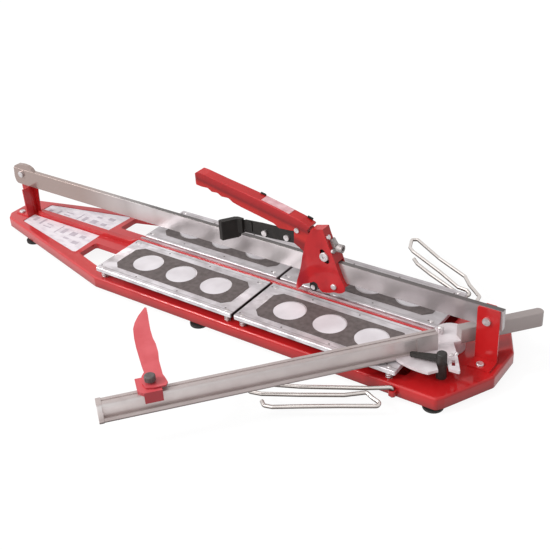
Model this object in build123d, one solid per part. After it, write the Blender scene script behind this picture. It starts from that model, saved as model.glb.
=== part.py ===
"""Manual rail tile cutter with four sprung tables, swinging measuring fence and wire supports.

Millimetres, +Z up, +X along the rail from the nose to the front end, +Y to the far side.
The shapes are drawn about the joint between the tables, on the rail's centre line and the floor;
put() then moves every node so that the origin is the bottom centre of the whole object.
"""
import os
from math import cos, sin, radians

from build123d import *

# ---- driving dimensions ------------------------------------------------------------------------
MID_X, MID_Y = -107.6, -83.7          # bottom centre of the object in drawing coordinates

DECK, SHEET, SKIRT = 30.5, 2.5, 9.0   # base: top of the sheet, its thickness, bottom of the skirt
POCKET = 2.2                          # depth of the nose pockets that hold the panels
PAN_Z = 11.0                          # underside of the pressed pans beneath the tables
HALF_W = 134.0                        # base half width
RAIL_T, RAIL_Z0, RAIL_Z1 = 9.5, 94.0, 130.0
RAIL_X0, RAIL_X1 = -667.0, 433.0
NOSE_BOLT, FRONT_BOLT = (-643.0, 119.0), (409.0, 106.0)
TABLE_Z, TABLE_T, TABLE_SKIRT = 51.6, 1.6, 44.0
TABLE_Y0, TABLE_Y1 = 9.5, 130.0
TABLES = [(-321.8, -2.5, -1), (2.5, 315.0, -1), (-321.8, -2.5, 1), (2.5, 315.0, 1)]
DISCS = [(-242.4, -162.0, -81.6), (79.0, 159.3, 239.7)]
DISC_R, DISC_Y, PAD_T = 29.0, 69.0, 0.8
PIN_Y = (21.0, 122.4)                 # table guide pins, from the rail line
RIDGE_Y, RIDGE_Z, STRIP_Z = 6.5, 50.2, 52.2

PIVOT_X, PIVOT_Z = 116.2, 140.4       # lever pivot and top roller axle on the carriage
ROLL2_X, ROLL2_Z = 133.6, 86.3        # bottom roller
ROLLER_HALF = 5.8
WHEEL_X, WHEEL_Z, WHEEL_R = 88.0, 69.0, 9.5
HOUSE_Y0, HOUSE_Y1 = 11.2, 13.4       # carriage side plates
GRIP_Y0, GRIP_Y1 = 8.8, 10.8          # handle side plates
ARM_Y0, ARM_Y1 = 6.2, 8.6             # breaker arms
CROSS_BOLT, CROSS_PIN = (60.9, 175.1), (86.0, 150.0)
ARM_BOLTS = [(-9.5, 149.8), (37.6, 153.5)]

FENCE_DEG = 50.05                     # the fence's direction at rest, from +X
SWING_X = 346.0                       # fence pivot on the rail line
FENCE_Z, FENCE_H, FENCE_T = 53.4, 35.5, 14.8
FENCE_NEAR = 301.4                    # near face, distance from the drawing origin
ARC_R, CASTING_T, BOSS_R = 114.0, 5.0, 27.5
CLAMP_X, CLAMP_Y, CLAMP_R = 369.5, -80.0, 8.45
CLAMP_TIP = (324.0, -93.5)
KNOB_S, KNOB_N = -265.4, -285.0       # blade pivot on the slider, along and across the fence
WIRE_R, WIRE_X, WIRE_Y = 3.4, 316.0, 138.5
FAR_WIRE_X, FAR_WIRE_Y = 326.0, 139.5


# ---- shape helpers -----------------------------------------------------------------------------
def block(x0, x1, y0, y1, z0, z1):
    return Pos((x0 + x1) / 2, (y0 + y1) / 2, (z0 + z1) / 2) * Box(x1 - x0, y1 - y0, z1 - z0)


def slab(points, z0, z1):
    """Plan outline raised from z0 to z1."""
    return raised(Polygon(*points, align=None), z0, z1)


def raised(face, z0, z1):
    """Any plan face raised from z0 to z1."""
    return extrude(Pos(0, 0, z0) * face, z1 - z0, dir=(0, 0, 1))


def side(points, y0, y1):
    """Side outline (x, z) running from y0 to y1."""
    plane = Plane(origin=(0, y1, 0), x_dir=(1, 0, 0), z_dir=(0, -1, 0))
    return extrude(plane * Polygon(*points, align=None), y1 - y0, dir=(0, -1, 0))


def rod(start, end, radius):
    start, end = Vector(*start), Vector(*end)
    plane = Plane(origin=start, z_dir=end - start)
    return plane * Cylinder(radius, (end - start).length, align=(Align.CENTER, Align.CENTER, Align.MIN))


def across(x, z, y0, y1, radius):
    return rod((x, y0, z), (x, y1, z), radius)


def upright(x, y, z0, z1, radius):
    return rod((x, y, z0), (x, y, z1), radius)


def far(shape):
    return mirror(shape, about=Plane.XZ)


def group(shapes):
    return Compound(children=[s for shape in shapes for s in shape.solids()])


FENCE = Plane(origin=(0, 0, 0), x_dir=(cos(radians(FENCE_DEG)), sin(radians(FENCE_DEG)), 0), z_dir=(0, 0, 1))


def along(shape):
    """Fence drawing frame: x along the bar, -y the distance of the near side."""
    return FENCE * shape


def put(name, shape):
    moved = Pos(-MID_X, -MID_Y, 0) * shape
    solids = moved.solids()
    export_step(solids[0] if len(solids) == 1 else group(solids), f"parts/{name}.step")


# ---- base --------------------------------------------------------------------------------------
def mirrored(points):
    return points + [(x, -y) for x, y in reversed(points)]


def base_frame():
    """Pressed sheet frame: rim and skirt, open windows at the nose, pressed pans under the tables."""
    outline = mirrored([(-676, -29), (-663, -44.5), (-326, -HALF_W), (388, -HALF_W), (397, -122), (440, -38)])
    rim = fillet(Polygon(*outline, align=None).vertices(), 9)
    shell = raised(rim, SKIRT, DECK)
    shell = fillet(shell.faces().sort_by(Axis.Z)[-1].edges(), 4.0)
    shell -= raised(offset(rim, -SHEET), SKIRT - 1, DECK - SHEET)
    nose = [(-416, -36), (-416, -82), (-360, -98), (-318, -110), (-306, -112), (-306, -36)]
    left = [(-288, -34), (-288, -106), (-34, -106), (-34, -34)]
    right = [(34, -34), (34, -106), (322, -106), (322, -34)]
    for window, floor in ((nose, 0), (left, SHEET), (right, SHEET)):
        for flip in (1, -1):
            hole = fillet(Polygon(*[(x, y * flip) for x, y in window], align=None).vertices(), 6)
            bottom = PAN_Z if floor else DECK - 11
            shell += raised(offset(hole, 2), bottom, DECK - 0.5)
            shell -= raised(hole, bottom + (2 if floor else -1), DECK + 1)
    for flip in (1, -1):
        pocket = offset(panel_face(flip), 1.0)
        shell += raised(offset(pocket, 2), DECK - POCKET - 2, DECK - 1)
        shell -= raised(pocket, DECK - POCKET, DECK + 1)
    for x, y in pin_places():
        shell -= upright(x, y, DECK - 6, DECK + 1, 3.4)
    for x, y, _ in screw_places():
        shell -= upright(x, y, DECK - 6, DECK + 1, 2.6)
    return shell


def panel_face(flip):
    outline = [(-623, -8.5), (-621.6, -41), (-434, -82.5), (-428.6, -80), (-432, -8.5)]
    return fillet(Polygon(*[(x, y * flip) for x, y in outline], align=None).vertices(), 2.5)


def pin_places():
    return [(x, y * s) for x0, x1, s in TABLES for x in (x0 + 14, x1 - 14) for y in PIN_Y]


def screw_places():
    """Plan position and head radius of the screws that hold the posts down."""
    return [(-650, -17.4, 6.2), (409, -24, 6.2), (409, 0, 4.3)]


def base_screws():
    seat = DECK + SHEET
    heads = [upright(x, y, DECK - 4, seat, 2.5) + upright(x, y, seat, seat + 3.6, r)
             for x, y, r in screw_places()]
    return group([fillet(h.edges().sort_by(Axis.Z)[-1], 1.6) for h in heads])


def nose_panels():
    return group([raised(panel_face(flip), DECK - POCKET, DECK - POCKET + 1.2) for flip in (-1, 1)])


def ridge_bar():
    outline = [(-612, DECK), (319, DECK), (319, RIDGE_Z), (-326, RIDGE_Z), (-348, 39.5), (-612, 39.5)]
    bar = side(outline, -RIDGE_Y, RIDGE_Y)
    edges = bar.edges().filter_by(lambda e: e.center().Z > 39 and abs(abs(e.center().Y) - RIDGE_Y) < 0.01)
    return fillet(edges, 1.5)


def feet():
    sole = fillet(upright(0, 0, 0, 5, 17).edges().sort_by(Axis.Z)[0], 1.5)
    spots = [(-579, 55, DECK - POCKET - 2), (-83, 122, DECK - SHEET), (376, 118, DECK - SHEET)]
    return group([Pos(x, y * s, 0) * (sole + upright(0, 0, 5, top, 8.2))
                  for x, y, top in spots for s in (-1, 1)])


# ---- rail and posts ----------------------------------------------------------------------------
def rail():
    half = RAIL_T / 2
    outline = [(RAIL_X0 + 2.5, RAIL_Z1), (RAIL_X1, RAIL_Z1), (RAIL_X1, RAIL_Z0), (RAIL_X0 + 12, RAIL_Z0),
               (RAIL_X0 + 6, RAIL_Z0 + 1.2), (RAIL_X0 + 2.5, RAIL_Z0 + 4.5), (RAIL_X0, RAIL_Z0 + 14)]
    bar = side(outline, -half, half)
    bar = chamfer(bar.edges().filter_by(Axis.X), 0.5)
    for x, z in (NOSE_BOLT, FRONT_BOLT):
        bar -= across(x, z, -half - 1, half + 1, 4.1)
    return bar


def rail_stop():
    outline = [(-664, RAIL_Z1), (-661, 134.5), (-651, 139.6), (-636, 141.2), (-622, 140.4),
               (-612, 136.6), (-607, RAIL_Z1)]
    return side(outline, -4.2, 4.2)


def nose_post():
    half = RAIL_T / 2
    web = block(-628, -625.5, -24, half, DECK, RAIL_Z0)
    cheek = side([(-628, DECK), (-618.8, DECK), (-613.3, 88), (-607, 100), (-607, 127), (-661, 127), (-661, 77),
                  (-628, 56)], half, half + 2.5)
    foot = block(-660, -625.5, -24, half + 2.5, DECK, DECK + SHEET)
    post = web + cheek + foot
    post -= across(*NOSE_BOLT, half - 1, half + 4, 4.1)
    x, y, _ = screw_places()[0]
    return post - upright(x, y, DECK - 1, DECK + 4, 2.55)


def front_post(x0, x1):
    half = RAIL_T / 2
    outline = Plane(origin=(0, -half, 0), x_dir=(1, 0, 0), z_dir=(0, -1, 0)) * Polygon(
        (x0, DECK), (x0, 129), (x1, 129), (x1, DECK), align=None)
    outline = fillet(outline.vertices().sort_by(Axis.Z)[-2:], 3)
    return extrude(outline, 2.6, dir=(0, -1, 0)) - across(*FRONT_BOLT, -half - 4, -half + 1, 4.1)


def front_post_near():
    x, y, _ = screw_places()[1]
    post = front_post(392, 429.5) + block(392, 429.5, -34, -RAIL_T / 2, DECK, DECK + SHEET)
    return post - upright(x, y, DECK - 1, DECK + 4, 2.55)


def front_post_far():
    x, y, _ = screw_places()[2]
    post = far(front_post(399, 419)) + block(399, 419, -RAIL_T / 2 + 0.2, RAIL_T / 2 + 2.6, DECK, DECK + SHEET)
    return post - upright(x, y, DECK - 1, DECK + 4, 2.55)


def rail_bolts():
    out = []
    for (x, z), near, back in ((NOSE_BOLT, 0, 2.5), (FRONT_BOLT, 2.6, 2.6)):
        y0, y1 = -RAIL_T / 2 - near, RAIL_T / 2 + back
        out.append(across(x, z, y0, y1, 4.0) + across(x, z, y0 - 3.8, y0, 6.7) + across(x, z, y1, y1 + 5, 6.5))
    return group(out)


# ---- tables ------------------------------------------------------------------------------------
def table_box(x0, x1, s, inset, z0, z1):
    y0, y1 = sorted((s * (TABLE_Y0 + inset), s * (TABLE_Y1 - inset)))
    return block(x0 + inset, x1 - inset, y0, y1, z0, z1)


def table_tray(x0, x1, s):
    tray = table_box(x0, x1, s, 0, TABLE_SKIRT, TABLE_Z)
    tray = fillet(tray.edges().filter_by(Axis.Z), 3)
    tray = chamfer(tray.faces().sort_by(Axis.Z)[-1].edges(), 0.8)
    return tray - table_box(x0, x1, s, TABLE_T, TABLE_SKIRT - 1, TABLE_Z - TABLE_T)


def table_pad(x0, x1, s, centres):
    a, b, y0, y1, c = x0 + 25, x1 - 23.5, 31.0, 110.0, 13.0
    corners = [(a, y0 + c), (a + c, y0), (b - c, y0), (b, y0 + c), (b, y1 - c), (b - c, y1),
               (a + c, y1), (a, y1 - c)]
    pad = slab([(x, y * s) for x, y in corners], TABLE_Z, TABLE_Z + PAD_T)
    for x in centres:
        pad -= upright(x, DISC_Y * s, TABLE_Z - 1, TABLE_Z + 2, DISC_R)
    return pad


def table_pins(x0, x1, s):
    pins = []
    for x in (x0 + 14, x1 - 14):
        for y in PIN_Y:
            pins.append(upright(x, y * s, 24.6, TABLE_Z - TABLE_T, 3.0) + upright(x, y * s, 24.6, 27.4, 5.4))
    return group(pins)


def table_springs(x0, x1, s):
    pitch, height = 3.7, TABLE_Z - TABLE_T - DECK - 2.2
    path = Helix(pitch, height, 4.9, center=(0, 0, 0))
    section = Plane(origin=path @ 0, z_dir=path % 0) * Circle(0.75)
    coil = sweep(section, path=path, is_frenet=True)
    return group([Pos(x, y * s, DECK + 0.85) * coil for x in (x0 + 14, x1 - 14) for y in PIN_Y])


# ---- carriage ----------------------------------------------------------------------------------
def carriage_housing():
    """Near side plate with its slot, roof and end wall over the lever, and a lower far side plate."""
    left = [(80.3, 162.8), (73.9, 139.6), (71.3, 129), (68, 112.1), (63.8, 94.7), (57.8, 76.6), (54.5, 61.9),
            (57.7, 58.8), (62.1, 62.2), (65.7, 66.7), (69.3, 71.5), (84.6, 79.1), (93.1, 84.2), (99.5, 81.3),
            (101.7, 75.5), (105.6, 70.2), (110.4, 68), (123.5, 70.5), (133.3, 75.1), (142.9, 75.5)]
    near = side([(114.9, 192.1), (91, 185.7)] + left + [(149.3, 77.9), (154.2, 82.3), (155.4, 90.6),
                (148.2, 104.8), (140.2, 125.4), (133.8, 143), (125.5, 161.8), (118.5, 179.8)], -HOUSE_Y1, -HOUSE_Y0)
    along_slot = Vector(0.4586, 0, -0.8886)
    ends = [Vector(PIVOT_X, 0, PIVOT_Z) + along_slot * step for step in (-8.65, 8.65)]
    for end in ends:
        near -= across(end.X, end.Z, -HOUSE_Y1 - 1, -HOUSE_Y0 + 1, 5.2)
    near -= side([(end.X + w * 4.62, end.Z + w * 2.38) for end, w in
                  ((ends[0], 1), (ends[1], 1), (ends[1], -1), (ends[0], -1))], -HOUSE_Y1 - 1, -HOUSE_Y0 + 1)
    other = side([(77.4, 152)] + left[1:] + [(148, 80), (150, 90), (146, 104), (141, 120), (137.5, 132.5),
                 (133.8, 143), (130.2, 151)], HOUSE_Y0, HOUSE_Y1)
    flange = side([(133.8, 143), (140.2, 125.4), (148.2, 104.8), (155.4, 90.6), (153.1, 89.6), (145.9, 103.8),
                   (137.9, 124.4), (131.5, 142)], -HOUSE_Y0, -RAIL_T / 2 - 0.4)
    roof = side([(91, 185.7), (114.9, 192.1), (114.3, 189.6), (91.6, 183.2)], -HOUSE_Y0, 6)
    wall = side([(114.9, 192.1), (118.5, 179.8), (125.5, 161.8), (130.2, 151), (127.9, 150), (123.2, 160.8),
                 (116.2, 178.8), (112.5, 191.4)], -HOUSE_Y0, 6)
    band = side([(130.2, 151), (133.8, 143), (138, 131.5), (135.6, 130.6), (131.4, 142), (127.9, 150)],
                -HOUSE_Y0, HOUSE_Y0)
    housing = near + other + flange + roof + wall + band
    housing -= across(PIVOT_X, PIVOT_Z, HOUSE_Y0 - 1, HOUSE_Y1 + 1, 4.05)
    return housing - across(ROLL2_X, ROLL2_Z, -HOUSE_Y1 - 1, HOUSE_Y1 + 1, 3.05)


def end_bracket():
    return side([(122.6, 169.8), (130.98, 149.6), (134.5, 149.6), (134.5, 158.5), (126, 171.5)], -5.0, 5.8)


def carriage_knob():
    return rod((134.5, 1, 155.5), (144.5, 1, 155.5), 7.2) - rod((141.5, 1, 155.5), (146, 1, 155.5), 3.8)


def carriage_bolts():
    normal = Vector(0.925, 0, 0.38)
    heads = []
    for x, y, z in ((120.0, -7.5, 176.0), (129.6, -9.2, 152.5)):
        foot = Vector(x, y, z) + normal * 0.1
        heads.append(rod(tuple(foot), tuple(foot + normal * 3.4), 4.1))
    room = side([(114.9, 192.1), (118.5, 179.8), (125.5, 161.8), (133.8, 143), (100, 143), (100, 192)], -20, 20)
    return group([head - room for head in heads])


def pivot_bolt():
    bolt = across(PIVOT_X, PIVOT_Z, -HOUSE_Y1, HOUSE_Y1, 4.0)
    bolt += across(PIVOT_X, PIVOT_Z, -HOUSE_Y1 - 3.4, -HOUSE_Y1, 8.4)
    bolt = fillet(bolt.edges().sort_by(Axis.Y)[0], 1.2)
    bolt -= across(PIVOT_X, PIVOT_Z, -HOUSE_Y1 - 5, -HOUSE_Y1 - 2.0, 3.0)
    return bolt + across(PIVOT_X, PIVOT_Z, HOUSE_Y1, HOUSE_Y1 + 4.5, 8.0)


def roller_bolt():
    bolt = across(ROLL2_X, ROLL2_Z, -HOUSE_Y1, HOUSE_Y1, 3.0)
    bolt += across(ROLL2_X, ROLL2_Z, -HOUSE_Y1 - 3.2, -HOUSE_Y1, 5.4)
    bolt = fillet(bolt.edges().sort_by(Axis.Y)[0], 1.4)
    return bolt + across(ROLL2_X, ROLL2_Z, HOUSE_Y1, HOUSE_Y1 + 4, 5.4)


def roller(x, z, radius, bore):
    wheel = across(x, z, -ROLLER_HALF, ROLLER_HALF, radius)
    return chamfer(wheel.edges().filter_by(GeomType.CIRCLE), 0.8) - across(x, z, -8, 8, bore)


# ---- lever -------------------------------------------------------------------------------------
HANDLE_TOP = [(-157.5, 231), (-150, 236.3), (-131.1, 234.9), (-98.3, 228.6), (-55.2, 221.4), (-13.2, 213.8),
              (27.9, 204.9), (68.1, 195.4), (86.5, 188.2)]


def handle():
    """Folded sheet lever, open below, with finger waves along its lower edges."""
    low = [(86, 186), (84.6, 183.4), (80.3, 180.2), (83.2, 175.5), (92, 165), (96, 150), (94, 134),
           (72.2, 136.8), (65.3, 141.8), (53.3, 148.3), (54.6, 172), (46.4, 171), (23.4, 169.2), (12.4, 175.8), (-22.1, 183.1),
           (-57.1, 190.3), (-73.5, 194.9), (-82.6, 200.9), (-98.4, 200.4), (-106.6, 205.4), (-119.1, 204.6),
           (-128.4, 210), (-140.9, 209.5), (-154.5, 210.8), (-158.1, 217.1)]
    outer = side(HANDLE_TOP + low, -GRIP_Y1, GRIP_Y1)
    plan = slab([(-158.1, -GRIP_Y1), (200, -GRIP_Y1), (200, GRIP_Y1), (-158.1, GRIP_Y1)], 100, 260)
    plan = fillet(plan.edges().filter_by(Axis.Z).sort_by(Axis.X)[:2], 6.5)
    inner = [(-153, 200), (-153.5, 229), (-147, 233.4), (-131.1, 232.6), (-98.3, 226.3), (-55.2, 219.2),
             (-13.2, 211.6), (27.9, 202.7), (68.1, 193.2), (100, 181.5), (100, 120), (-60, 120)]
    grip = (outer & plan) - side(inner, -GRIP_Y0, GRIP_Y0)
    closure = [(86, 186), (84.6, 183.4), (80.3, 180.2), (82, 176.2), (79.8, 175.4), (78, 181), (84, 188.5)]
    grip += side(closure, -GRIP_Y0, GRIP_Y0)
    middles = [((a[0] + b[0]) / 2, (a[1] + b[1]) / 2) for a, b in zip(HANDLE_TOP[2:], HANDLE_TOP[3:])]
    ridge = [e for e in grip.edges() if abs(abs(e.center().Y) - GRIP_Y1) < 0.01
             and any(abs(e.center().X - x) < 0.1 and abs(e.center().Z - z) < 0.1 for x, z in middles)]
    grip = fillet(ridge, 1.7)
    for x, z in (CROSS_BOLT, CROSS_PIN):
        grip -= across(x, z, -GRIP_Y1 - 1, GRIP_Y1 + 1, 3.05)
    return grip


def handle_plate():
    top = [(-12, 213.57), (27.9, 204.93), (45, 200.9)]
    return side([(x, z + 0.7) for x, z in top] + top[::-1], -8.6, 8.6)


def breaker_arm(holes):
    outline = [(-53.6, 140.3), (-51.4, 165), (-13.1, 168.1), (17.3, 169.2), (53.2, 171.5), (66, 171), (76, 170),
               (108, 152), (126, 146), (126, 134), (116, 128), (106, 108), (97, 74), (93, 62.5), (86, 60),
               (80.5, 65), (81, 74), (88, 108), (90, 126), (78, 140), (51.8, 146.7), (8.5, 142.9), (-27, 141.5)]
    arm = side(outline, -ARM_Y1, -ARM_Y0) - across(PIVOT_X, PIVOT_Z, -20, 0, 4.06)
    for x, z in [(WHEEL_X, WHEEL_Z), CROSS_PIN] + holes:
        arm -= across(x, z, -20, 0, 3.0)
    return arm


def breaker_arms():
    return group([breaker_arm(ARM_BOLTS), far(breaker_arm(ARM_BOLTS[1:]) - block(-60, 9, -20, 0, 100, 200))])


def breaker_pad():
    """Wing that presses the scored tile; a tab joins it to the outside of the near arm."""
    plan = [(-36, -ARM_Y1), (-36, -ARM_Y1 - 1.6), (-53, -ARM_Y1 - 1.6), (-54, -14.5), (-62, -17), (-79, -41),
            (-88, -38), (-88, -34), (-72, -12), (-66, -ARM_Y1)]
    wing = slab(plan, 131.5, 168)
    wing -= block(-61.5, -30, -50, 0, 120, 140)
    wing -= block(-53.5, -30, -50, 0, 120, 146)
    wing -= block(-53.5, -30, -50, 0, 165, 170)
    return fillet(wing.edges().filter_by(Axis.Z).sort_by(Axis.Y)[:2], 1.5)


def lever_bolts():
    places = [(-1, x, z) for x, z in ARM_BOLTS] + [(1,) + ARM_BOLTS[1]]
    out = [across(x, z, s * ARM_Y0, s * ARM_Y1, 3.0) + across(x, z, s * ARM_Y1, s * (ARM_Y1 + 3.2), 5.4)
           for s, x, z in places]
    bolt = across(*CROSS_BOLT, -GRIP_Y1, GRIP_Y1, 3.0)
    for s in (-1, 1):
        bolt += across(*CROSS_BOLT, s * GRIP_Y1, s * (GRIP_Y1 + 2.4), 4.6)
    return group(out + [bolt, across(*CROSS_PIN, -GRIP_Y1, GRIP_Y1, 3.0)])


def wheel_axle():
    axle = across(WHEEL_X, WHEEL_Z, -ARM_Y1 - 1.8, ARM_Y1 + 1.8, 3.0)
    for s in (-1, 1):
        axle += across(WHEEL_X, WHEEL_Z, s * 1.6, s * ARM_Y0, 4.6)
        axle += across(WHEEL_X, WHEEL_Z, s * ARM_Y1, s * (ARM_Y1 + 1.8), 4.4)
    return axle


def cutting_wheel():
    wheel = across(WHEEL_X, WHEEL_Z, -1.2, 1.2, WHEEL_R)
    wheel = chamfer(wheel.edges().filter_by(GeomType.CIRCLE), length=1.0, length2=2.4)
    return wheel - across(WHEEL_X, WHEEL_Z, -3, 3, 3.05)


# ---- fence -------------------------------------------------------------------------------------
def fence_bar():
    near, back, z0, z1 = -FENCE_NEAR, -FENCE_NEAR + FENCE_T, FENCE_Z, FENCE_Z + FENCE_H
    bar = block(-341, 184, near, back, z0, z1)
    bar -= block(-342, 150, near - 1, near + 4.5, z0 + 8.0, z1 - 3.5)
    bar -= block(-342, 184.5, -FENCE_NEAR + 6.2, -FENCE_NEAR + 9.2, z1 - 1.6, z1 + 1)
    return along(bar)


def fence_cap():
    near, back = -FENCE_NEAR, -FENCE_NEAR + FENCE_T
    cap = block(-349, -341, near - 0.7, back + 0.7, FENCE_Z - 0.4, FENCE_Z + FENCE_H + 0.8)
    return along(fillet(cap.edges().filter_by(Axis.Z), 1.2))


def fence_casting():
    """Sector plate with pivot boss, an open notch for the clamp and a slotted tab, behind the bar."""
    start, end = FENCE_DEG + 180.5, 278.5
    turn = [radians(start + (end - start) * i / 20) for i in range(21)]
    rim = [(SWING_X + ARC_R * cos(a), ARC_R * sin(a)) for a in turn]
    rim += [(371, -102), (385, -88.5), (402.5, -87.5), (403, -84.5), (381.5, -50), (372, -37), (SWING_X, 0)]
    plate = slab([(SWING_X - 20, -10), (303.4, -106)] + rim, FENCE_Z, FENCE_Z + CASTING_T)
    plate += upright(SWING_X, 0, FENCE_Z, FENCE_Z + CASTING_T, BOSS_R)
    plate -= along(block(60, 184.2, -FENCE_NEAR, -FENCE_NEAR + FENCE_T, FENCE_Z - 1, FENCE_Z + 60))
    plate -= along(block(-100, 140, -FENCE_NEAR + FENCE_T, -100, FENCE_Z - 1, FENCE_Z + 60))
    plate -= upright(SWING_X, 0, FENCE_Z - 1, FENCE_Z + 3.4, 7.05)
    plate -= upright(374, -56, FENCE_Z - 1, FENCE_Z + 9, 1.6)
    plate -= slab([(379.6, -66.5), (384.4, -64), (391.4, -77), (386.6, -79.6)], FENCE_Z - 1, FENCE_Z + 9)
    mouth = [(CLAMP_X + u * 0.6 + v * 0.8, CLAMP_Y - u * 0.8 + v * 0.6) for u, v in
             ((0, -CLAMP_R), (40, -CLAMP_R), (40, CLAMP_R), (0, CLAMP_R))]
    plate -= upright(CLAMP_X, CLAMP_Y, FENCE_Z - 1, FENCE_Z + 9, CLAMP_R)
    plate -= slab(mouth, FENCE_Z - 1, FENCE_Z + 9)
    return plate.solids().sort_by(SortBy.VOLUME)[-1]


def fence_arm():
    arm = block(228, 374, -292, -274.5, FENCE_Z, 79.5)
    arm = fillet(arm.edges().filter_by(Axis.Z).sort_by(Axis.X)[-2:], 8)
    arm = fillet(arm.edges().filter_by(Axis.X).sort_by(Axis.Z)[-2:], 1.5)
    return along(arm) - upright(SWING_X, 0, FENCE_Z - 1, FENCE_Z + CASTING_T, BOSS_R) - fence_casting()


def fence_pin():
    pin = upright(331.7, -9.5, FENCE_Z + CASTING_T, 72, 5.6)
    return fillet(pin.edges().sort_by(Axis.Z)[-1], 4.5)


def protractor_screw():
    head = upright(374, -56, FENCE_Z + CASTING_T, FENCE_Z + CASTING_T + 2.6, 3.6)
    head = fillet(head.edges().sort_by(Axis.Z)[-1], 1.2)
    return head + upright(374, -56, FENCE_Z + 1, FENCE_Z + CASTING_T, 1.6)


def pivot_pedestal():
    body = upright(SWING_X, 0, DECK, FENCE_Z - 0.3, 24)
    return body + upright(SWING_X, 0, FENCE_Z - 0.3, FENCE_Z + 3.1, 7.0)


def clamp_foot():
    return upright(CLAMP_X, CLAMP_Y, DECK + 0.5, FENCE_Z + CASTING_T, CLAMP_R)


def clamp_stud():
    return upright(CLAMP_X, CLAMP_Y, FENCE_Z + CASTING_T, 73, 4.0)


def clamp_lever():
    hub = upright(CLAMP_X, CLAMP_Y, FENCE_Z + CASTING_T + 0.3, 77, CLAMP_R)
    hub = fillet(hub.edges().sort_by(Axis.Z)[-1], 3)
    root, tip = Vector(CLAMP_X, CLAMP_Y), Vector(*CLAMP_TIP)
    run = (tip - root).normalized()
    nrm = Vector(-run.Y, run.X)
    points = [root + run * 5 + nrm * 6, tip + nrm * 3.2, tip + run * 2.4, tip - nrm * 3.2,
              root + run * 5 - nrm * 6]
    arm = slab([(p.X, p.Y) for p in points], 62.5, 69.5)
    return hub + arm - upright(CLAMP_X, CLAMP_Y, 50, 73.3, 4.1)


def slider_block():
    top, near, back = FENCE_Z + FENCE_H, -FENCE_NEAR, -FENCE_NEAR + FENCE_T
    body = slab([(-287, -266), (-251, -266), (-251, near - 4.6), (-278.5, near - 4.6), (-287, -297)],
                top + 0.35, top + 6.0)
    body += block(-278.5, -251, near - 4.6, near - 0.4, top - 13.5, top + 1)
    body += block(-278.5, -251, back + 0.4, back + 4.6, top - 16, top + 1)
    return along(body - Pos(KNOB_S, KNOB_N, top) * Cylinder(3.25, 20))


def slider_stud():
    return along(Pos(KNOB_S, KNOB_N, 0) * upright(0, 0, FENCE_Z + FENCE_H + 0.4, 106, 3.2))


def stop_blade():
    z0 = FENCE_Z + FENCE_H + 6.4
    outline = [(-270.9, -257.7), (-272, -244), (-272.7, -217), (-273.3, -189), (-272.8, -163.5),
               (-270.8, -137.8), (-266.1, -121.4), (-257.8, -102.9), (-248, -87.6), (-243.5, -80.5), (-240.8, -83),
               (-241.7, -105.6), (-243.2, -126.7), (-244.4, -150.3), (-244.2, -173.8), (-242.3, -190), (-242.2, -214),
               (-244.5, -235.2), (-244.8, -272), (-242.5, -282), (-240.6, -293), (-244, -299.6), (-262, -300.6),
               (-274, -297), (-278, -284), (-276.5, -268)]
    blade = slab(outline, z0, z0 + 2.6)
    return along(blade - Pos(KNOB_S, KNOB_N, z0) * Cylinder(3.3, 12))


def stop_knob():
    z0 = FENCE_Z + FENCE_H + 12.0
    knob = Pos(KNOB_S, KNOB_N, z0 + 4.8) * Cylinder(8.8, 9.6)
    knob = fillet(knob.edges().sort_by(Axis.Z)[-1], 2.4)
    knob = chamfer(knob.edges().sort_by(Axis.Z)[0], 1)
    for i in range(8):
        angle = radians(45 * i)
        knob -= Pos(KNOB_S + 10.4 * cos(angle), KNOB_N + 10.4 * sin(angle), z0 + 5) * Cylinder(2.3, 20)
    return along(knob - Pos(KNOB_S, KNOB_N, 0) * upright(0, 0, z0 - 1, 106.3, 3.3))


# ---- wire supports -----------------------------------------------------------------------------
def bent_rod(points):
    path = FilletPolyline(*points, radius=WIRE_R + 1)
    section = Plane(origin=path @ 0, z_dir=path % 0) * Circle(WIRE_R)
    return sweep(section, path=path, transition=Transition.ROUND)


def side_wire_near():
    """One rod bent to three runs; the last run drops lower than the first."""
    return bent_rod([
        (WIRE_X, -WIRE_Y, 10.5), (WIRE_X, -WIRE_Y, 28), (284.5, -159.5, 28), (192, -210.5, 28), (128, -239, 28),
        (122.5, -248.5, 28), (131, -261, 28), (150, -255.5, 27.5), (202, -226.5, 27),
        (261, -190.5, 26), (287, -167.5, 26), (301, -172.5, 24), (314.5, -174.5, 21.5), (314.5, -182.5, 21), (266, -211.2, 21), (214, -243.5, 21),
        (178, -266.5, 21), (165, -270, 21), (156, -263, 21)])


def side_wire_far():
    """The same sort of rod on the far side, with its long runs laid inwards."""
    return bent_rod([
        (FAR_WIRE_X, FAR_WIRE_Y, 10.5), (FAR_WIRE_X, FAR_WIRE_Y, 28), (322, 164, 28), (291, 190, 28),
        (272, 212, 28), (204, 246.5, 28), (134, 291.5, 28), (124, 286, 28), (135, 258, 27.5), (147, 248, 27),
        (224, 207.5, 26), (275, 177.5, 25), (292, 177, 24), (302, 170, 22.5), (296, 161, 21), (273, 168.5, 21),
        (208, 199.4, 21), (171, 220, 21), (157, 233, 21)])


def wire_clip(x, y):
    s = 1 if y > 0 else -1
    clip = block(x - 6, x + 6, *sorted((s * HALF_W, y + s * 5.2)), 13, 23)
    outer = clip.edges().filter_by(Axis.Z).sort_by(Axis.Y)
    clip = fillet(outer[-2:] if s > 0 else outer[:2], 3.5)
    return clip - upright(x, y, 0, 40, WIRE_R + 0.05)


# ---- write the parts ---------------------------------------------------------------------------
os.makedirs("parts", exist_ok=True)

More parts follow.
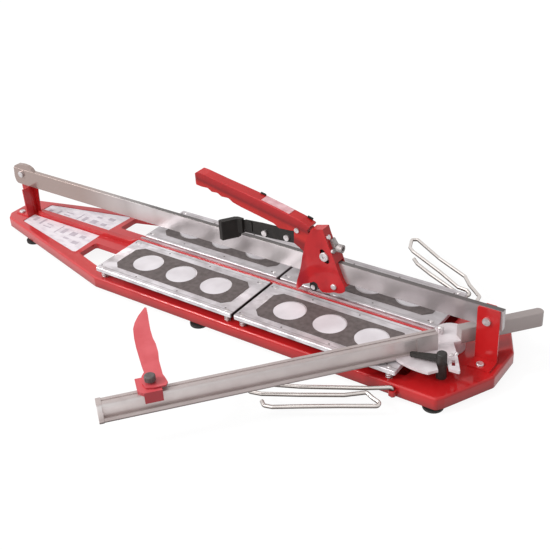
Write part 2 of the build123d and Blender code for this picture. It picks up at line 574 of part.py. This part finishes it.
put("base_frame", base_frame())
put("base_screws", base_screws())
put("nose_panels", nose_panels())
put("rubber_feet", feet())
put("ridge_bar", ridge_bar())
put("ridge_strip", block(-322, 319, -2.4, 2.4, RIDGE_Z, STRIP_Z))
put("rail", rail())
put("rail_stop", rail_stop())
put("nose_post", nose_post())
put("front_post_near", front_post_near())
put("front_post_far", front_post_far())
put("rail_bolts", rail_bolts())
put("pivot_pedestal", pivot_pedestal())
put("wire_clips", group([wire_clip(WIRE_X, -WIRE_Y), wire_clip(FAR_WIRE_X, FAR_WIRE_Y)]))

for number, (x0, x1, s) in enumerate(TABLES, 1):
    put(f"table_tray_{number}", table_tray(x0, x1, s))
    put(f"table_pad_{number}", table_pad(x0, x1, s, DISCS[0] if x0 < -10 else DISCS[1]))
    put(f"table_pins_{number}", table_pins(x0, x1, s))
    put(f"table_springs_{number}", table_springs(x0, x1, s))

put("carriage_housing", carriage_housing())
put("end_bracket", end_bracket())
put("carriage_knob", carriage_knob())
put("carriage_bolts", carriage_bolts())
put("pivot_bolt", pivot_bolt())
put("roller_bolt", roller_bolt())
put("top_roller", roller(PIVOT_X, PIVOT_Z, 10.1, 4.06))
put("bottom_roller", roller(ROLL2_X, ROLL2_Z, 7.4, 3.06))

put("handle", handle())
put("handle_plate", handle_plate())
put("breaker_arms", breaker_arms())
put("breaker_pad", breaker_pad())
put("lever_bolts", lever_bolts())
put("wheel_axle", wheel_axle())
put("cutting_wheel", cutting_wheel())

put("fence_bar", fence_bar())
put("fence_cap", fence_cap())
put("fence_casting", fence_casting())
put("fence_arm", fence_arm())
put("fence_pin", fence_pin())
put("protractor_screw", protractor_screw())
put("clamp_foot", clamp_foot())
put("clamp_stud", clamp_stud())
put("clamp_lever", clamp_lever())
put("slider_block", slider_block())
put("slider_stud", slider_stud())
put("stop_blade", stop_blade())
put("stop_knob", stop_knob())

put("side_wire_near", side_wire_near())
put("side_wire_far", side_wire_far())
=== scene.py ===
from math import pi, radians

import bmesh
import bpy
from mathutils import Euler, Matrix, Vector


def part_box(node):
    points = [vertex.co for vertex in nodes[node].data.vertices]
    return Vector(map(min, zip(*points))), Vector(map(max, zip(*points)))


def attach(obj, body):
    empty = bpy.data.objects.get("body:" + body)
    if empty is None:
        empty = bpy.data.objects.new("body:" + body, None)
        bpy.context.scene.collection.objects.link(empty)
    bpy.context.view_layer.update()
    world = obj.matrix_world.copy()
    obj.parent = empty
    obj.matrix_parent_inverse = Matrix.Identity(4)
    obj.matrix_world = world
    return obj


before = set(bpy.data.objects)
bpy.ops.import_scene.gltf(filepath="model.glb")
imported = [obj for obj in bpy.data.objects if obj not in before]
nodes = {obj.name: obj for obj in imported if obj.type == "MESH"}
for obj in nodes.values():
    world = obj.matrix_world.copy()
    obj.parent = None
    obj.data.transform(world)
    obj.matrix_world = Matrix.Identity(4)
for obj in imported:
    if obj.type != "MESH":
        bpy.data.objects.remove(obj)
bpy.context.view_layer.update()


# ---- pressed base, feet posts and centre ridge ---------------------------------------------------
# The base is pressed from steel sheet and powder coated red; the posts, the centre ridge and the
# wire clips are coated with it. The coat is thick, so the gloss is slightly rippled like orange
# peel. Away from the ridge it is painted paler towards the nose as painted light, and its low
# edges are painted darker as painted shade.
def linear(code):
    """sRGB hex colour as linear RGBA."""
    parts = [int(code[i:i + 2], 16) / 255 for i in (1, 3, 5)]
    return [c / 12.92 if c <= 0.04045 else ((c + 0.055) / 1.055) ** 2.4 for c in parts] + [1.0]


def add(tree, kind, links=None, **settings):
    """A node with its settings, its inputs given as values or as (node, output) pairs."""
    node = tree.nodes.new("ShaderNode" + kind)
    for name, value in settings.items():
        setattr(node, name, value)
    for name, value in (links or {}).items():
        if isinstance(value, tuple) and isinstance(value[0], bpy.types.Node):
            tree.links.new(value[0].outputs[value[1]], node.inputs[name])
        else:
            node.inputs[name].default_value = value
    return node


def finish(name, roughness, metallic=0.0, coat=0.0, coat_roughness=0.1, specular=0.5):
    """A material with its tree, its Principled shader and Object coordinates in metres."""
    material = bpy.data.materials.new(name)
    material.use_nodes = True
    tree = material.node_tree
    shader = tree.nodes["Principled BSDF"]
    for socket, value in (("Roughness", roughness), ("Metallic", metallic), ("Coat Weight", coat),
                          ("Coat Roughness", coat_roughness), ("Specular IOR Level", specular)):
        shader.inputs[socket].default_value = value
    return material, tree, shader, add(tree, "TexCoord")


def maths(tree, operation, *inputs):
    """A Math node, its inputs in order."""
    return add(tree, "Math", dict(enumerate(inputs)), operation=operation)


def rising(tree, value, start, end, top=1.0):
    """A factor that goes from 0 at start to top at end and stays there."""
    return add(tree, "MapRange", {"Value": value, "From Min": start, "From Max": end,
                                  "To Max": top})


def toned(tree, below, code, factor):
    """The colour of the node below, moved towards one tone by a factor."""
    return add(tree, "MixRGB", {"Fac": factor, "Color1": (below, "Color"), "Color2": linear(code)})


def ramped(tree, factor, steps):
    """Colour that follows a factor through steps of position and tone."""
    ramp = add(tree, "ValToRGB", {"Fac": factor})
    stops = ramp.color_ramp.elements
    for position, code in steps[1:-1]:
        stops.new(position).color = linear(code)
    for stop, (position, code) in ((stops[0], steps[0]), (stops[-1], steps[-1])):
        stop.position, stop.color = position, linear(code)
    return ramp


def noise(tree, source, size_mm, detail):
    """Noise with patches of about the given size."""
    return add(tree, "TexNoise", {"Vector": source, "Scale": 1000 / size_mm, "Detail": detail})


def paint(tree, shader, colour):
    """Use a node's colour as the shader's own."""
    tree.links.new(colour.outputs["Color"], shader.inputs["Base Color"])


def mottled(tree, place, shader, dark, light, size_mm, stretch=(1, 1, 1), low=0.35, high=0.65,
            detail=3.0):
    """Colour that drifts between two tones over patches of the given size."""
    spread = add(tree, "Mapping", {"Vector": (place, "Object"), "Scale": stretch})
    cloud = noise(tree, (spread, "Vector"), size_mm, detail)
    ramp = ramped(tree, (cloud, "Fac"), ((low, dark), (high, light)))
    paint(tree, shader, ramp)
    return ramp


def relief(tree, shader, source, size_mm, depth_mm, detail):
    """Fine relief of the given grain and depth."""
    grain = noise(tree, source, size_mm, detail)
    bump = add(tree, "Bump", {"Height": (grain, "Fac"), "Strength": 1.0,
                              "Distance": depth_mm / 1000})
    tree.links.new(bump.outputs["Normal"], shader.inputs["Normal"])


def ripple(tree, place, shader, size_mm, depth_mm, stretch=(1, 1, 1)):
    """Relief of the given grain and depth, which can be stretched along an axis."""
    spread = add(tree, "Mapping", {"Vector": (place, "Object"), "Scale": stretch})
    relief(tree, shader, (spread, "Vector"), size_mm, depth_mm, 2.0)


def dress(material, names):
    """Give every slot of the named solids one material."""
    for name in names.split():
        for slot in nodes[name].material_slots:
            slot.material = material


def trim(name, shape, material, smooth=False):
    """An object from a finished bmesh, in one material."""
    mesh = bpy.data.meshes.new(name)
    shape.to_mesh(mesh)
    shape.free()
    if smooth:
        mesh.shade_smooth()
    mesh.materials.append(material)
    piece = bpy.data.objects.new(name, mesh)
    bpy.context.scene.collection.objects.link(piece)
    return piece


rail_y, ridge_half_width = 0.0837, 0.0075
red_coat, tree, shader, place = finish("red_powder_coat", 0.36, coat=0.6, coat_roughness=0.09,
                                       specular=0.12)
ramp = mottled(tree, place, shader, "#B4181B", "#C62325", 70)
where = add(tree, "SeparateXYZ", {"Vector": (place, "Object")})
# Painted light: the deck off the ridge turns paler towards the nose.
nose_light = rising(tree, (where, "X"), 0.12, -0.56, 0.62)
from_rail = maths(tree, "SUBTRACT", (where, "Y"), rail_y)
out = maths(tree, "ABSOLUTE", (from_rail, "Value"))
open_deck = maths(tree, "GREATER_THAN", (out, "Value"), ridge_half_width)
nose_light_mask = maths(tree, "MULTIPLY", (nose_light, "Result"), (open_deck, "Value"))
nose_lit = toned(tree, ramp, "#CF4348", (nose_light_mask, "Value"))
# Painted shade: the sides darken towards their bottom edge.
low_shade = rising(tree, (where, "Z"), 0.022, 0.009, 0.7)
low_shaded = toned(tree, nose_lit, "#7C2422", (low_shade, "Result"))
paint(tree, shader, low_shaded)
ripple(tree, place, shader, 2.4, 0.012)
dress(red_coat, "base_frame ridge_bar nose_post front_post_near front_post_far wire_clips")

# ---- rubber feet ---------------------------------------------------------------------------------
# Moulded nitrile feet, pushed up into the base. Matt black with a faint grey bloom.
rubber, tree, shader, place = finish("moulded_nitrile_rubber", 0.7)
mottled(tree, place, shader, "#191716", "#262322", 6)
ripple(tree, place, shader, 0.8, 0.03)
dress(rubber, "rubber_feet")

# ---- panels on the nose deck ---------------------------------------------------------------------
# Thin plastic sheets set in the two nose pockets. They carry only plain grey blocks, with the soft
# smears and scuffs that a wiped plastic sheet has.
sheet, tree, shader, place = finish("calendered_pvc_sheet", 0.34, specular=0.6)
mottled(tree, place, shader, "#DCD2DA", "#EFE8EE", 22, stretch=(1, 2.2, 1), low=0.35, high=0.55)
ripple(tree, place, shader, 5, 0.02)
dress(sheet, "nose_panels")
grey_print, tree, shader, place = finish("matt_screen_print", 0.5)
mottled(tree, place, shader, "#B9AEB8", "#CBC1CB", 12)
low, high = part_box("nose_panels")
middle = (low[1] + high[1]) / 2
shape = bmesh.new()
block_height = 0.00008
for x, y, length, width in (
        (0.018, 0.020, 0.010, 0.014), (0.040, 0.022, 0.006, 0.022), (0.064, 0.024, 0.018, 0.003),
        (0.064, 0.034, 0.022, 0.003), (0.096, 0.030, 0.003, 0.030), (0.112, 0.030, 0.010, 0.018),
        (0.136, 0.050, 0.014, 0.006), (0.138, 0.030, 0.016, 0.014), (0.165, 0.030, 0.014, 0.010),
        (0.166, 0.055, 0.016, 0.010)):
    for side in (-1, 1):
        made = bmesh.ops.create_cube(shape, size=1.0)["verts"]
        bmesh.ops.scale(shape, verts=made, vec=(length, width, block_height))
        bmesh.ops.translate(shape, verts=made,
                            vec=(low[0] + x, middle + side * y, high[2] + block_height / 2))
blocks = trim("panel_blocks", shape, grey_print)
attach(blocks, "base")

# ---- breaking strip ------------------------------------------------------------------------------
# A flat steel strip let into the top of the ridge, which the scored tile snaps over. Its pale,
# pinkish tone is painted highlight and painted reflection of the red coat.
pale_strip_steel, tree, shader, place = finish("mild_steel_painted_highlight", 0.36, metallic=0.7)
mottled(tree, place, shader, "#A28C90", "#D6C0C4", 14, stretch=(0.25, 1, 1))
ripple(tree, place, shader, 1.2, 0.01, stretch=(0.05, 1, 1))
dress(pale_strip_steel, "ridge_strip")

# ---- rail and its stop ---------------------------------------------------------------------------
# Drawn flat bar of bright steel, with a domed stop on the nose end. The face drifts between pale
# grey and the brown of old oil at the nose, and from the middle onwards its top is painted dark as
# painted shade.
bright_bar, tree, shader, place = finish("bright_drawn_steel", 0.2, metallic=0.55)
ramp = mottled(tree, place, shader, "#B7B0B0", "#D0CACA", 75, stretch=(1, 0.2, 0.35),
               low=0.38, high=0.62)
apart = add(tree, "SeparateXYZ", {"Vector": (place, "Normal")})
where = add(tree, "SeparateXYZ", {"Vector": (place, "Object")})
oiled = rising(tree, (where, "X"), -0.2, -0.36)
brown = toned(tree, ramp, "#A8958F", (oiled, "Result"))
handled = rising(tree, (where, "X"), 0.28, 0.46)
brown = toned(tree, brown, "#AEA6A7", (handled, "Result"))
# Painted shade: the top faces from the middle of the rail onwards are painted dark.
upward = maths(tree, "GREATER_THAN", (apart, "Z"), 0.3)
inward = rising(tree, (where, "X"), -0.34, -0.16, 0.85)
top_shade_mask = maths(tree, "MULTIPLY", (upward, "Value"), (inward, "Result"))
top_shaded = toned(tree, brown, "#423A38", (top_shade_mask, "Value"))
paint(tree, shader, top_shaded)
dress(bright_bar, "rail rail_stop")

# ---- fasteners, pins and rollers -----------------------------------------------------------------
# Zinc-plated steel: screws, nuts, bolts, rollers, guide pins and the springs under the tables.
# Plating gives a pale, slightly blue-grey, satin metal.
zinc, tree, shader, place = finish("zinc_plated_steel", 0.32, metallic=0.75)
mottled(tree, place, shader, "#BDB6B6", "#E2DCDD", 5)
ripple(tree, place, shader, 1.0, 0.012)
dress(zinc, "base_screws rail_bolts carriage_bolts pivot_bolt roller_bolt lever_bolts wheel_axle "
            "top_roller bottom_roller fence_pin protractor_screw clamp_stud slider_stud")
for number in "1234":
    dress(zinc, f"table_pins_{number} table_springs_{number}")

# ---- table trays ---------------------------------------------------------------------------------
# Folded galvanised sheet. The zinc has a faint crystal spangle, with darker stains where dust has
# settled. A dark line along each long border is painted shade in a crease, the sides where two
# tables meet are painted dark as shade in the gap, and the trays beyond the rail are painted a
# little darker as the rail's shade.
galvanised, tree, shader, place = finish("galvanised_sheet", 0.36, metallic=0.35, specular=0.6)
ramp = mottled(tree, place, shader, "#BDB6B9", "#E8E3E7", 16, stretch=(0.6, 1, 1),
               low=0.3, high=0.6, detail=6.0)
stain = noise(tree, (place, "Object"), 38, 5.0)
stained = rising(tree, (stain, "Fac"), 0.55, 0.72, 0.55)
dull = toned(tree, ramp, "#857B7C", (stained, "Result"))
where = add(tree, "SeparateXYZ", {"Vector": (place, "Object")})
from_rail = maths(tree, "SUBTRACT", (where, "Y"), rail_y)
out = maths(tree, "ABSOLUTE", (from_rail, "Value"))
# Painted shade: a dark line along each long border for the crease there.
outer_crease, inner_crease, crease_half_width = 0.1215, 0.0165, 0.0007
outer = maths(tree, "COMPARE", (out, "Value"), outer_crease, crease_half_width)
inner = maths(tree, "COMPARE", (out, "Value"), inner_crease, crease_half_width)
lines = maths(tree, "MAXIMUM", (outer, "Value"), (inner, "Value"))
soft = maths(tree, "MULTIPLY", (lines, "Value"), 0.6)
crease_shaded = toned(tree, dull, "#6E6567", (soft, "Value"))
# Painted shade: the tables' sides in the gap between two tables are painted dark.
tables_meet_x, meeting_half_width = 0.1076, 0.0045
split = maths(tree, "COMPARE", (where, "X"), tables_meet_x, meeting_half_width)
facing = add(tree, "SeparateXYZ", {"Vector": (place, "Normal")})
sideways = maths(tree, "ABSOLUTE", (facing, "X"))
gap = maths(tree, "MULTIPLY", (split, "Value"), (sideways, "Value"))
gap_shaded = toned(tree, crease_shaded, "#1E1A1A", (gap, "Value"))
level = maths(tree, "GREATER_THAN", (facing, "Z"), 0.5)
handled = rising(tree, (where, "X"), -0.16, 0.08, 0.3)
rubbed = maths(tree, "MULTIPLY", (level, "Value"), (handled, "Result"))
fingered = toned(tree, gap_shaded, "#8F8788", (rubbed, "Value"))
# Painted shade: the trays beyond the rail are a little darker, as in the rail's shade.
beyond_rail = maths(tree, "GREATER_THAN", (from_rail, "Value"), 0.01)
shady = maths(tree, "MULTIPLY", (beyond_rail, "Value"), 0.45)
paint(tree, shader, toned(tree, fingered, "#A0989A", (shady, "Value")))
ripple(tree, place, shader, 3.0, 0.004)
for number in "1234":
    dress(galvanised, f"table_tray_{number}")

# ---- table pads ----------------------------------------------------------------------------------
# Sheet rubber glued on the trays, with three round windows in each. It is warm dark grey and
# lightly grained so that tiles grip.
grip_rubber, tree, shader, place = finish("grained_sheet_rubber", 0.62, specular=0.4)
mottled(tree, place, shader, "#574E4D", "#6A605F", 9)
ripple(tree, place, shader, 1.3, 0.05)
for number in "1234":
    dress(grip_rubber, f"table_pad_{number}")

# ---- table discs ---------------------------------------------------------------------------------
# Pale nylon discs in the pads' windows, a little lower than the pad, that let a tile slide.
# Moulded nylon is smooth, off-white and slightly waxy.
nylon, tree, shader, place = finish("moulded_nylon", 0.4, specular=0.5)
mottled(tree, place, shader, "#D6D0D4", "#E6E1E5", 45)
ripple(tree, place, shader, 2.0, 0.01)
disc_radius, disc_rise, disc_pitch, disc_segments = 0.0286, 0.0005, 0.0805, 72
for number in "1234":
    low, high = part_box(f"table_pad_{number}")
    middle_x = (low[0] + high[0]) / 2 - (0 if number in "24" else 0.00075)
    middle_y = (low[1] + high[1]) / 2 + (-0.0015 if number in "12" else 0.0015)
    shape = bmesh.new()
    for step in (-1, 0, 1):
        made = bmesh.ops.create_cone(shape, cap_ends=True, segments=disc_segments, depth=disc_rise,
                                     radius1=disc_radius, radius2=disc_radius)["verts"]
        bmesh.ops.translate(shape, verts=made, vec=(middle_x + step * disc_pitch, middle_y,
                                                    low[2] + disc_rise / 2))
    rims = [edge for edge in shape.edges if len(edge.link_faces) == 2
            and {len(face.verts) for face in edge.link_faces} == {4, disc_segments}
            and edge.verts[0].co.z > low[2] + disc_rise / 2]
    bmesh.ops.bevel(shape, geom=rims, offset=0.0002, segments=2, profile=0.5, affect="EDGES",
                    material=-1)
    discs = trim(f"slide_discs_{number}", shape, nylon)
    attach(discs, f"table_{number}")

# ---- table rivets --------------------------------------------------------------------------------
# Dome heads that close the guide pins through each tray's corners. They are zinc plated like the
# pins.
pin_collar, rivet_radius, rivet_flatness = 0.0054, 0.0036, 0.42
for number in "1234":
    low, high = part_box(f"table_tray_{number}")
    pin_low, pin_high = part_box(f"table_pins_{number}")
    shape = bmesh.new()
    for x in (pin_low[0] + pin_collar, pin_high[0] - pin_collar):
        for y in (pin_low[1] + pin_collar, pin_high[1] - pin_collar):
            dome = bmesh.ops.create_uvsphere(shape, u_segments=24, v_segments=12,
                                             radius=rivet_radius)["verts"]
            bmesh.ops.scale(shape, verts=dome, vec=(1, 1, rivet_flatness))
            bmesh.ops.translate(shape, verts=dome, vec=(x, y, high[2] + 0.0001))
    everything = list(shape.verts) + list(shape.edges) + list(shape.faces)
    bmesh.ops.bisect_plane(shape, geom=everything, plane_co=(0, 0, high[2] - 0.0002),
                           plane_no=(0, 0, 1), clear_inner=True)
    open_rims = [edge for edge in shape.edges if edge.is_boundary]
    bmesh.ops.holes_fill(shape, edges=open_rims, sides=0)
    bmesh.ops.recalc_face_normals(shape, faces=shape.faces)
    rivets = trim(f"tray_rivets_{number}", shape, zinc, smooth=True)
    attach(rivets, f"table_{number}")

# ---- punched holes in the trays ------------------------------------------------------------------
# Small round holes along the trays' borders, seen as dark dots. They are punched through the sheet,
# so what shows in them is the dark space under the table, drawn as flat dark discs of painted shade
# on the sheet.
hole_radius, hole_inset = 0.0017, 0.012
for number in "1234":
    low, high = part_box(f"table_tray_{number}")
    shape = bmesh.new()
    for x in (low[0] + 0.006, low[0] + 0.092, (low[0] + high[0]) / 2 + 0.03, high[0] - 0.02):
        for y in (low[1] + hole_inset, high[1] - hole_inset):
            made = bmesh.ops.create_cone(shape, cap_ends=True, segments=20, radius1=hole_radius,
                                         radius2=hole_radius, depth=0.0001)["verts"]
            bmesh.ops.translate(shape, verts=made, vec=(x, y, high[2] + 0.00006))
    holes = trim(f"tray_hole_shades_{number}", shape, grip_rubber)
    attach(holes, f"table_{number}")

# ---- carriage and lever --------------------------------------------------------------------------
# The carriage housing and the handle are folded steel with the same red coat as the base, smudged
# by hands. Their upright faces carry painted highlight and painted shade in bands. The breaker arms
# and wing are satin black, and the bracket and knob at the carriage's front are dull zinc.
def graded(name, names, x_share, z_share, start, end, steps):
    """Red coat with painted highlight and shade bands on upright faces, by a weighted sum of X and
    Z.
    """
    material, tree, shader, place = finish(name, 0.36, coat=0.35, coat_roughness=0.09,
                                           specular=0.1)
    ramp = mottled(tree, place, shader, "#B4181B", "#C62325", 70)
    where = add(tree, "SeparateXYZ", {"Vector": (place, "Object")})
    along = maths(tree, "MULTIPLY", (where, "X"), x_share)
    total = maths(tree, "MULTIPLY_ADD", (where, "Z"), z_share, (along, "Value"))
    # Painted highlight and painted shade: tone bands along the weighted sum, laid on upright faces.
    depth = rising(tree, (total, "Value"), start, end)
    tone = ramped(tree, (depth, "Result"), steps)
    facing = add(tree, "SeparateXYZ", {"Vector": (place, "Normal")})
    upright = maths(tree, "ABSOLUTE", (facing, "Y"))
    shaded = add(tree, "MixRGB", {"Fac": (upright, "Value"), "Color1": (ramp, "Color"),
                                  "Color2": (tone, "Color")})
    smudge = noise(tree, (place, "Object"), 16, 2.0)
    handled = rising(tree, (smudge, "Fac"), 0.48, 0.7, 0.22)
    soiled = maths(tree, "MULTIPLY", (handled, "Result"), (upright, "Value"))
    paint(tree, shader, toned(tree, shaded, "#7A1218", (soiled, "Value")))
    ripple(tree, place, shader, 2.4, 0.012)
    dress(material, names)


graded("red_lever_coat", "handle", 0.205, 1.0, 0.2337, 0.1887,
       ((0, "#D2484A"), (0.07, "#B8262A"), (0.3, "#A52024"), (0.42, "#8A1A1F"),
        (0.55, "#BC2624"), (0.8, "#C52C29"), (1, "#8C1B1D")))
graded("red_housing_coat", "carriage_housing", 1.0, 0.12, 0.171, 0.25,
       ((0, "#DC6468"), (0.06, "#B02026"), (0.14, "#9C1C28"), (0.3, "#A81E26"),
        (0.42, "#BE2226"), (0.75, "#B81F24"), (1, "#C42A2E")))
black_coat, tree, shader, place = finish("satin_black_enamel", 0.42, specular=0.3)
mottled(tree, place, shader, "#191614", "#25211E", 20)
ripple(tree, place, shader, 1.5, 0.012)
dress(black_coat, "breaker_arms breaker_pad")
bracket_zinc, tree, shader, place = finish("dull_zinc_casting", 0.48, metallic=0.4)
mottled(tree, place, shader, "#8C8583", "#B5ADAC", 5)
ripple(tree, place, shader, 1.5, 0.02)
dress(bracket_zinc, "end_bracket carriage_knob")

# ---- cutting wheel -------------------------------------------------------------------------------
# Sintered tungsten carbide, ground to an edge: dark grey and fairly bright.
carbide, tree, shader, place = finish("ground_tungsten_carbide", 0.26, metallic=0.8)
mottled(tree, place, shader, "#6B6768", "#8C8888", 2)
ripple(tree, place, shader, 0.6, 0.006)
dress(carbide, "cutting_wheel")

# ---- sticker on the handle -----------------------------------------------------------------------
# A pale plastic strip bonded to the handle's back, left bare.
strip, tree, shader, place = finish("bare_polyester_label", 0.36, specular=0.55)
mottled(tree, place, shader, "#D79DA3", "#ECBEC3", 14)
ripple(tree, place, shader, 3.0, 0.01)
dress(strip, "handle_plate")

# ---- lugs on the handle --------------------------------------------------------------------------
# Two low black plastic buffers along the handle's far top edge, where it meets the carriage when
# it is folded down.
lug_offset = 0.0085
shape = bmesh.new()
for x, z, tilt in ((0.0883, 0.2160, 0.216), (0.1841, 0.1941, 0.25)):
    made = bmesh.ops.create_cube(shape, size=1.0)["verts"]
    bmesh.ops.scale(shape, verts=made, vec=(0.011, 0.003, 0.0036))
    bmesh.ops.rotate(shape, verts=made, matrix=Matrix.Rotation(tilt, 3, "Y"))
    bmesh.ops.translate(shape, verts=made, vec=(x, rail_y + lug_offset, z))
bmesh.ops.bevel(shape, geom=list(shape.edges), offset=0.0007, segments=2, profile=0.5,
                affect="EDGES", material=-1)
lugs = trim("handle_lugs", shape, black_coat)
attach(lugs, "lever")

# ---- measuring fence -----------------------------------------------------------------------------
# Extruded aluminium bar with a recess along its face and a groove in its top, and a matching arm
# on the far side. Natural anodising gives a warm grey satin with fine lines along the extrusion.
fence_turn, lines_stretch = radians(-50.05), 0.12
anodised, tree, shader, place = finish("anodised_aluminium", 0.38, metallic=0.45)
turned = add(tree, "Mapping", {"Vector": (place, "Object"), "Rotation": (0, 0, fence_turn),
                               "Scale": (lines_stretch, 1, 1)})
cloud = noise(tree, (turned, "Vector"), 22, 3.0)
ramp = ramped(tree, (cloud, "Fac"), ((0.3, "#E9E1E0"), (0.7, "#FBF6F5")))
where = add(tree, "SeparateXYZ", {"Vector": (place, "Object")})
# Painted shade and highlight: by height, the faces darken along the bottom edge and brighten to a
# painted highlight near the top.
height = rising(tree, (where, "Z"), 0.053, 0.089)
tone = ramped(tree, (height, "Result"),
              ((0, "#4E4644"), (0.06, "#8A7F7D"), (0.09, "#DAD0CE"), (0.22, "#D2C8C6"),
               (0.25, "#D8CFCD"), (0.55, "#F6F0EF"), (0.88, "#FFFFFF"), (1, "#DDD4D2")))
profile = add(tree, "MixRGB", {"Fac": 1.0, "Color1": (ramp, "Color"), "Color2": (tone, "Color")},
              blend_type="MULTIPLY")
handled = rising(tree, (where, "X"), 0.1, 0.34, 0.5)
greyed = toned(tree, profile, "#B4A9A8", (handled, "Result"))
arm_side = rising(tree, (where, "X"), 0.43, 0.5, 0.8)
worn = toned(tree, greyed, "#938886", (arm_side, "Result"))
free_end = rising(tree, (where, "X"), -0.02, -0.16, 0.7)
unmarked = toned(tree, worn, "#FBF6F4", (free_end, "Result"))
facing = add(tree, "SeparateXYZ", {"Vector": (place, "Normal")})
# Painted shade: the top faces are painted darker.
upper = maths(tree, "GREATER_THAN", (facing, "Z"), 0.5)
top_shade = maths(tree, "MULTIPLY", (upper, "Value"), 0.35)
paint(tree, shader, toned(tree, unmarked, "#8E8380", (top_shade, "Value")))
relief(tree, shader, (turned, "Vector"), 1.2, 0.008, 1.0)
dress(anodised, "fence_bar fence_arm fence_cap")

# ---- fence casting -------------------------------------------------------------------------------
# Pressure die-cast zinc, tumbled and lacquered pale grey, on its pivot boss. A small plated nub
# stands on it.
cast, tree, shader, place = finish("lacquered_die_casting", 0.42, metallic=0.25)
mottled(tree, place, shader, "#D3C8CB", "#E4DCDF", 30)
ripple(tree, place, shader, 1.8, 0.02)
dress(cast, "fence_casting pivot_pedestal")
shape = bmesh.new()
made = bmesh.ops.create_uvsphere(shape, u_segments=24, v_segments=12, radius=0.0034)["verts"]
bmesh.ops.scale(shape, verts=made, vec=(1, 1, 0.8))
bmesh.ops.translate(shape, verts=made, vec=(0.4873, 0.0352, 0.0588))
nub = trim("casting_nub", shape, zinc, smooth=True)
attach(nub, "fence")

# ---- clamp ---------------------------------------------------------------------------------------
# Glass-filled nylon column and lever that lock the fence's angle: satin black with a fine mould
# grain.
black_nylon, tree, shader, place = finish("glass_filled_nylon", 0.5, specular=0.45)
mottled(tree, place, shader, "#1D1A18", "#2B2724", 5)
ripple(tree, place, shader, 0.9, 0.03)
dress(black_nylon, "clamp_foot clamp_lever")

# ---- slider, stop blade and knob -----------------------------------------------------------------
# The slider and its long stop blade have a paler red enamel; the knob that locks them is dark grey
# moulded plastic.
salmon, tree, shader, place = finish("pale_red_enamel", 0.4, coat=0.3, specular=0.3)
ramp = mottled(tree, place, shader, "#D04C53", "#DA5C63", 30)
# Painted shade: the upright sides are painted darker than the tops.
apart = add(tree, "SeparateXYZ", {"Vector": (place, "Normal")})
upright = rising(tree, (apart, "Z"), 0.7, 0.2, 0.75)
sides_shaded = toned(tree, ramp, "#AE2F38", (upright, "Result"))
paint(tree, shader, sides_shaded)
ripple(tree, place, shader, 2.0, 0.012)
dress(salmon, "slider_block stop_blade")
knob_abs, tree, shader, place = finish("moulded_abs", 0.45)
mottled(tree, place, shader, "#514847", "#5F5655", 4)
ripple(tree, place, shader, 0.9, 0.02)
dress(knob_abs, "stop_knob")

# ---- wire supports -------------------------------------------------------------------------------
# Drawn steel rod bent to three runs, bright nickel plated, turning in a clip on each side.
nickel, tree, shader, place = finish("nickel_plated_rod", 0.24, metallic=1.0)
ramp = mottled(tree, place, shader, "#CFC8C4", "#DAD3CF", 60)
# Painted shade: faces turned down are painted dark.
apart = add(tree, "SeparateXYZ", {"Vector": (place, "Normal")})
below = rising(tree, (apart, "Z"), 0.6, 0.0)
underside_shaded = toned(tree, ramp, "#5A524E", (below, "Result"))
paint(tree, shader, underside_shaded)
dress(nickel, "side_wire_near side_wire_far")

# ---- floor, light and camera ---------------------------------------------------------------------
# A white floor and white surroundings, a key light from the front left with a wide soft one
# around it, and a weak fill from the front.
def glow(tree, dim, bright):
    """Strength that is dim for diffuse light and bright where the white is seen or mirrored."""
    path = add(tree, "LightPath")
    seen = maths(tree, "MAXIMUM", (path, "Is Camera Ray"), (path, "Is Glossy Ray"))
    seen = maths(tree, "MAXIMUM", (seen, "Value"), (path, "Is Transmission Ray"))
    return add(tree, "MapRange", {"Value": (seen, "Value"), "To Min": dim, "To Max": bright})


floor_material = bpy.data.materials.new("white_floor")
floor_material.use_nodes = True
tree = floor_material.node_tree
tree.nodes.clear()
matt = add(tree, "BsdfDiffuse", {"Color": (0.13, 0.13, 0.13, 1)})
floor_glow = glow(tree, 0.25, 0.9)
light = add(tree, "Emission", {"Color": (1, 1, 1, 1), "Strength": (floor_glow, "Result")})
both = add(tree, "AddShader", {0: (matt, "BSDF"), 1: (light, "Emission")})
add(tree, "OutputMaterial", {"Surface": (both, "Shader")})
shape = bmesh.new()
bmesh.ops.create_grid(shape, x_segments=1, y_segments=1, size=8.0)
floor = trim("floor", shape, floor_material)

world = bpy.data.worlds.new("studio")
bpy.context.scene.world = world
world.use_nodes = True
tree = world.node_tree
tree.nodes.clear()
sky_glow = glow(tree, 0.5, 1.0)
sky = add(tree, "Background", {"Color": (1, 1, 1, 1), "Strength": (sky_glow, "Result")})
add(tree, "OutputWorld", {"Surface": (sky, "Background")})

for name, heading, strength, spread in (("key_light", (-0.563, -0.57, 0.6), 1.15, 9),
                                        ("soft_light", (-0.45, -0.5, 0.75), 1.35, 75),
                                        ("fill_light", (0.0, -0.95, 0.35), 0.3, 40)):
    lamp = bpy.data.lights.new(name, "SUN")
    lamp.energy, lamp.angle = strength, radians(spread)
    holder = bpy.data.objects.new(name, lamp)
    holder.rotation_euler = Vector(heading).to_track_quat("Z", "Y").to_euler()
    bpy.context.scene.collection.objects.link(holder)

elevation, azimuth, roll = radians(31.3), radians(36.87), radians(-3.78)
stand = (0.99291, -1.09639, 0.95905)
camera_data = bpy.data.cameras.new("camera")
camera_data.lens, camera_data.sensor_width = 63.02, 36.0
camera_data.clip_end = 50
camera = bpy.data.objects.new("camera", camera_data)
aim = Euler((pi / 2 - elevation, 0, azimuth)).to_matrix() @ Matrix.Rotation(roll, 3, "Z")
camera.matrix_world = Matrix.Translation(stand) @ aim.to_4x4()
bpy.context.scene.collection.objects.link(camera)
bpy.context.scene.camera = camera
bpy.context.scene.view_settings.view_transform = "Standard"
